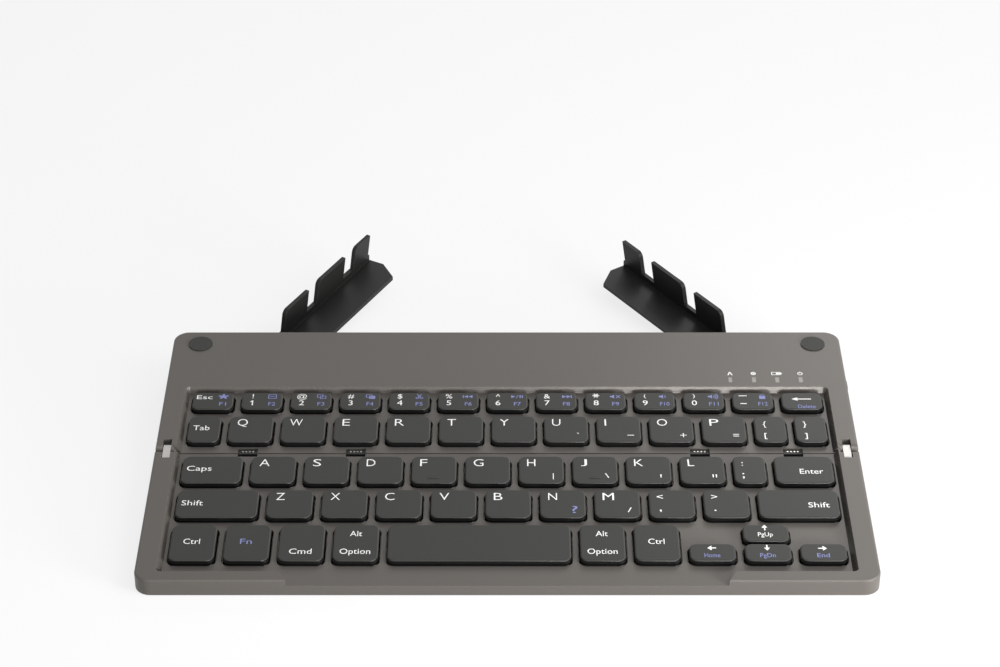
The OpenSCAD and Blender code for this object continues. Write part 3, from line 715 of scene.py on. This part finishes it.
# on a letter cap: the second mark's middle and top, or its middle where it is an icon
MARK_X, MARK_TOP, MARK_ICON_Y = 12.3, 10.4, 11.9
QUESTION, QUESTION_TOP, QUESTION_WIDTH = 3.9, 9.5, 1.9  # the blue question mark on N
for letter, mark, width in (
    ("u", "`", 0.8), ("h", "|", 0.3), ("j", "\\", 1.5), ("m", "/", 1.5),
):
    print_text("key_" + letter, mark, MARK_X, MARK_TOP, MARK, align="centre", width=width)
for letter, icon in (
    ("i", "minus"), ("o", "plus"), ("p", "equals"), ("k", "quote"), ("l", "quotes"),
):
    print_icon("key_" + letter, icon, MARK_X, MARK_ICON_Y)
print_text(
    "key_n", "?", MARK_X, QUESTION_TOP, QUESTION, "blue", "centre", width=QUESTION_WIDTH
)

NUMBERS = "number_row_keys"
# the caps after Esc: digit, mark above it and blue icon. What is empty is drawn as an icon.
NUMBER_ROW = [
    ("1", "!", "frame"), ("2", "@", "copy"), ("3", "#", "paste"), ("4", "$", "cut"),
    ("5", "%", "previous"), ("6", "^", "play"), ("7", "&", "next"), ("8", "", "mute"),
    ("9", "(", "quieter"), ("0", ")", "louder"), ("", "", "lock"),
]
DIGIT_X, DIGIT_TOP = 4.3, 5.3
SHIFTED, SHIFTED_TOP = 2.6, 1.4  # height and top of the mark above the digit
ROUND_BRACKET = 2.0  # height of ( and ), which reach below the line
ICON_X, ICON_Y = 11.3, 2.9  # middle of the blue icon
F_TOP = 6.3
F_WIDTH, F_WIDTH_TWO = 2.5, 3.4  # with one digit and with two
print_text(NUMBERS, "Esc", 1.7, 2.1, 2.3, width=5.7)
print_icon(NUMBERS, "flower", ICON_X, ICON_Y, "blue")
print_text(NUMBERS, "F1", ICON_X, F_TOP, LABEL, "blue", "centre", width=F_WIDTH)
for i, (digit, shifted, icon) in enumerate(NUMBER_ROW, start=1):
    if shifted:
        height = ROUND_BRACKET if shifted in "()" else SHIFTED
        print_text(NUMBERS, shifted, DIGIT_X, SHIFTED_TOP, height, align="centre", cap=i)
    if digit:
        print_text(NUMBERS, digit, DIGIT_X, DIGIT_TOP, DIGIT, align="centre", cap=i)
    print_icon(NUMBERS, icon, ICON_X, ICON_Y, "blue", i)
    label = "F%d" % (i + 1)
    width = F_WIDTH if len(label) == len("F1") else F_WIDTH_TWO
    print_text(NUMBERS, label, ICON_X, F_TOP, LABEL, "blue", "centre", i, width)
for icon, x, y, cap in (
    ("flag", DIGIT_X, 5.3, 1), ("star", DIGIT_X, 2.3, 8), ("wide_dash", DIGIT_X, 2.4, 11),
    ("dash", DIGIT_X, 7.2, 11), ("wide_arrow", 7.6, 4.4, 12),
):
    print_icon(NUMBERS, icon, x, y, cap=cap)
print_text(NUMBERS, "Delete", 9.3, 7.9, LABEL, "blue", "centre", 12, 6.4)

WORD_LEFT = 2.05  # left edge of a word that starts at its cap's left side
print_text("tab_bracket_keys", "Tab", WORD_LEFT, 6.1, WORD, width=5.85)
BRACKET_X, BRACKET_TOPS = 4.1, (3.8, 10.6)  # middle, and tops of the two on a cap
for i, marks in enumerate(("{[", "}]"), start=1):
    for mark, top in zip(marks, BRACKET_TOPS):
        print_text("tab_bracket_keys", mark, BRACKET_X, top, WORD, align="centre", cap=i)

UPPER, UPPER_TOP, LOWER = 3.05, 2.9, 3.95  # heights of the marks, and the upper one's top
# caps run left to right, so the two angle brackets come before the semicolon
for i, (upper, lower, x, lower_top) in enumerate(
    (("<", ",", 4.2, 8.3), (">", ".", 4.2, 8.3), (":", ";", 3.6, 8.9))
):
    print_text("punctuation_keys", upper, x, UPPER_TOP, UPPER, align="centre", cap=i)
    print_text("punctuation_keys", lower, x, lower_top, LOWER, align="centre", cap=i)

print_text("enter_key", "Enter", 9.0, 7.8, WORD, width=8.2)


def modifier(x, front):
    """Number of the modifier cap whose left and front edges are nearest to x, front."""
    distances = [abs(low[0] - x) + abs(low[1] - front) for low, _ in caps["modifier_keys"]]
    return distances.index(min(distances))


CAPS_ROW, SHIFT_ROW, THUMB_ROW = -20, -39.3, -62.6  # front edges of the rows
# the word, its cap's left edge and row, then x, top, width, ink and alignment on the cap
for text, cap_x, row, x, top, width, ink, align in (
    ("Caps", -113.8, CAPS_ROW, WORD_LEFT, 6.1, 8.7, "white", "left"),
    ("Shift", -113.8, SHIFT_ROW, WORD_LEFT, 6.4, 7.4, "white", "left"),
    ("Shift", 85.8, SHIFT_ROW, 24.8, 7.5, 7.3, "white", "right"),
    ("Ctrl", -113.8, THUMB_ROW, 7.5, 8.1, 5.6, "white", "centre"),
    ("Fn", -95.5, THUMB_ROW, 7.5, 8.1, 4.0, "blue", "centre"),
    ("Cmd", -77.2, THUMB_ROW, 7.8, 13.4, 7.6, "white", "centre"),
    ("Alt", -58.9, THUMB_ROW, 7.8, 3.9, 4.1, "white", "centre"),
    ("Option", -58.9, THUMB_ROW, 7.8, 13.4, 10.3, "white", "centre"),
    ("Alt", 24.1, THUMB_ROW, 7.8, 3.9, 4.1, "white", "centre"),
    ("Option", 24.1, THUMB_ROW, 7.8, 13.4, 10.1, "white", "centre"),
    ("Ctrl", 42.4, THUMB_ROW, 7.8, 8.1, 5.5, "white", "centre"),
):
    print_text("modifier_keys", text, x, top, WORD, ink, align, modifier(cap_x, row), width)

ARROW_X = 7.9
ARROW_SCALE = 1.1
# the arrow caps from left to right: icon and its middle, label and its top, width and ink
for cap, (icon, icon_y, label, label_top, width, ink) in enumerate((
    ("left", 2.7, "Home", 5.5, 5.3, "blue"),
    ("down", 2.6, "PgDn", 5.5, 5.2, "blue"),
    ("up", 2.0, "PgUp", 4.6, 5.0, "white"),
    ("right", 2.9, "End", 5.5, 4.2, "blue"),
)):
    print_icon("arrow_keys", icon, ARROW_X, icon_y, cap=cap, scale=ARROW_SCALE)
    print_text("arrow_keys", label, ARROW_X, label_top, LABEL, ink, "centre", cap, width)


def add_ink(name, body, prints):
    """One piece of ink that rides on a body, from shapes with their levels and inks."""
    points, faces, inks = [], [], []
    for (shape, polygons), z, ink in prints:
        append_mesh(points, faces, [(x, y, z + INK_LIFT) for x, y in shape], polygons)
        inks += [INKS[ink]] * len(polygons)
    piece = add_piece(name, body, points, faces, [white_ink, blue_ink])
    for face, ink in zip(piece.data.polygons, inks):
        face.material_index = ink


for node, prints in legends.items():
    add_ink("legend_" + node, node, prints)

STATUS_Y = 45.8  # middle of the marks behind the status lights
status_x = [(low[0] + high[0]) / 2 for low, high in solid_boxes("status_lights")]
status_marks = [
    (polygon_shape(ICONS[icon], x, STATUS_Y), 0, "white")
    for icon, x in zip(("caps_on", "linked", "cell", "power"), status_x)
]
add_ink("status_marks", "rear_half", status_marks)

# ------------------------------------------------------------------ stage, light and camera


def seen_rays(tree):
    """1 for rays from the camera, off glossy surfaces and through clear ones, otherwise 0."""
    rays = tree.nodes.new("ShaderNodeLightPath")
    seen = rays.outputs["Is Camera Ray"]
    for kind in ("Is Glossy Ray", "Is Transmission Ray"):
        either = tree.nodes.new("ShaderNodeMath")
        either.operation = "MAXIMUM"
        tree.links.new(seen, either.inputs[0])
        tree.links.new(rays.outputs[kind], either.inputs[1])
        seen = either.outputs["Value"]
    return seen


def show_mix(tree, share, lit, plain, output):
    """Shows the lit shader with a share of the plain one over it."""
    mix = tree.nodes.new("ShaderNodeMixShader")
    tree.links.new(share, mix.inputs["Fac"])
    tree.links.new(lit, mix.inputs[1])
    tree.links.new(plain, mix.inputs[2])
    tree.links.new(mix.outputs["Shader"], tree.nodes[output].inputs["Surface"])


WHITE = (1, 1, 1, 1)
FLOOR_WHITE = 0.8  # share of plain white over the lit floor, which keeps the shadow
FLOOR_HALF, FLOOR_LEVEL = 4.0, -0.0001  # metres
FLOOR_GREY, FLOOR_ROUGH = 0.86, 0.9

floor_mesh = bpy.data.meshes.new("floor")
floor_mesh.from_pydata(
    [(x * FLOOR_HALF, y * FLOOR_HALF, FLOOR_LEVEL) for x, y in bar(-1, -1, 2, 2)],
    [], [(0, 1, 2, 3)],
)
floor = bpy.data.objects.new("floor", floor_mesh)
bpy.context.scene.collection.objects.link(floor)
floor_material = bpy.data.materials.new("floor_white")
floor_material.use_nodes = True
tree = floor_material.node_tree
lit = tree.nodes["Principled BSDF"]
lit.inputs["Base Color"].default_value = (FLOOR_GREY, FLOOR_GREY, FLOOR_GREY, 1)
lit.inputs["Roughness"].default_value = FLOOR_ROUGH
glow = tree.nodes.new("ShaderNodeEmission")
glow.inputs["Strength"].default_value = 1.0
share = tree.nodes.new("ShaderNodeMath")
share.operation = "MULTIPLY"
share.inputs[1].default_value = FLOOR_WHITE
tree.links.new(seen_rays(tree), share.inputs[0])
show_mix(
    tree, share.outputs["Value"], lit.outputs["BSDF"], glow.outputs["Emission"],
    "Material Output",
)
floor_mesh.materials.append(floor_material)

SKY_LEVEL = 0.2  # how much the surroundings light the scene, though they are seen as white

world = bpy.data.worlds.new("studio")
bpy.context.scene.world = world
world.use_nodes = True
tree = world.node_tree
sky = tree.nodes["Background"]
sky.inputs["Color"].default_value = WHITE
sky.inputs["Strength"].default_value = SKY_LEVEL
white = tree.nodes.new("ShaderNodeBackground")
white.inputs["Color"].default_value = WHITE
white.inputs["Strength"].default_value = 1.0
show_mix(
    tree, seen_rays(tree), sky.outputs["Background"], white.outputs["Background"],
    "World Output",
)


def soft_light(name, place, aim, size, power, mirrored=True):
    """A softbox, in metres and watts. One that isn't mirrored leaves no glare on surfaces."""
    data = bpy.data.lights.new(name, "AREA")
    data.shape = "RECTANGLE"
    data.size, data.size_y = size
    data.energy = power
    light = bpy.data.objects.new(name, data)
    bpy.context.scene.collection.objects.link(light)
    light.location = place
    light.rotation_euler = (Vector(aim) - Vector(place)).to_track_quat("-Z", "Y").to_euler()
    light.visible_glossy = mirrored


soft_light("side_box", (0.6, -0.3, 0.5), (0, 0, 0), (0.7, 0.7), 5.6)
soft_light("low_box", (0.55, -1.2, 0.15), (0, 0, 0), (1.0, 0.12), 6)
soft_light("near_box", (0.44, -0.42, 0.1), (0, 0, 0), (0.2, 0.1), 6, mirrored=False)
soft_light("top_box", (0.1, -0.55, 0.95), (0, 0, 0), (0.5, 0.2), 2.5)
soft_light("back_box", (0.45, 1.0, 0.65), (0.1, 0, 0), (0.5, 0.35), 2.6)

# the photograph's camera, fitted on the key plane
CAMERA_SPOT = (-2.45, -775.2, 577.8)  # on the key plane, in millimetres
CAMERA_DOWN = 34.3  # degrees below the key plane
FOCAL_PIXELS = 2741  # focal length in pixels of the photograph
PHOTO_WIDTH = 1000  # pixels
SENSOR = 36  # millimetres
CLIP = (0.05, 20)  # metres

camera_data = bpy.data.cameras.new("photo_camera")
camera_data.sensor_fit = "HORIZONTAL"
camera_data.sensor_width = SENSOR
camera_data.lens = FOCAL_PIXELS * SENSOR / PHOTO_WIDTH
camera_data.clip_start, camera_data.clip_end = CLIP
camera = bpy.data.objects.new("photo_camera", camera_data)
bpy.context.scene.collection.objects.link(camera)
angle = math.radians(CAMERA_DOWN)
forward = BACK * math.cos(angle) - UP * math.sin(angle)
upward = BACK * math.sin(angle) + UP * math.cos(angle)
axes = Matrix((Vector((1, 0, 0)), upward, -forward)).transposed().to_4x4()
camera.matrix_world = Matrix.Translation(PLANE @ Vector(CAMERA_SPOT)) @ axes
bpy.context.scene.camera = camera

bpy.context.scene.view_settings.view_transform = "Standard"
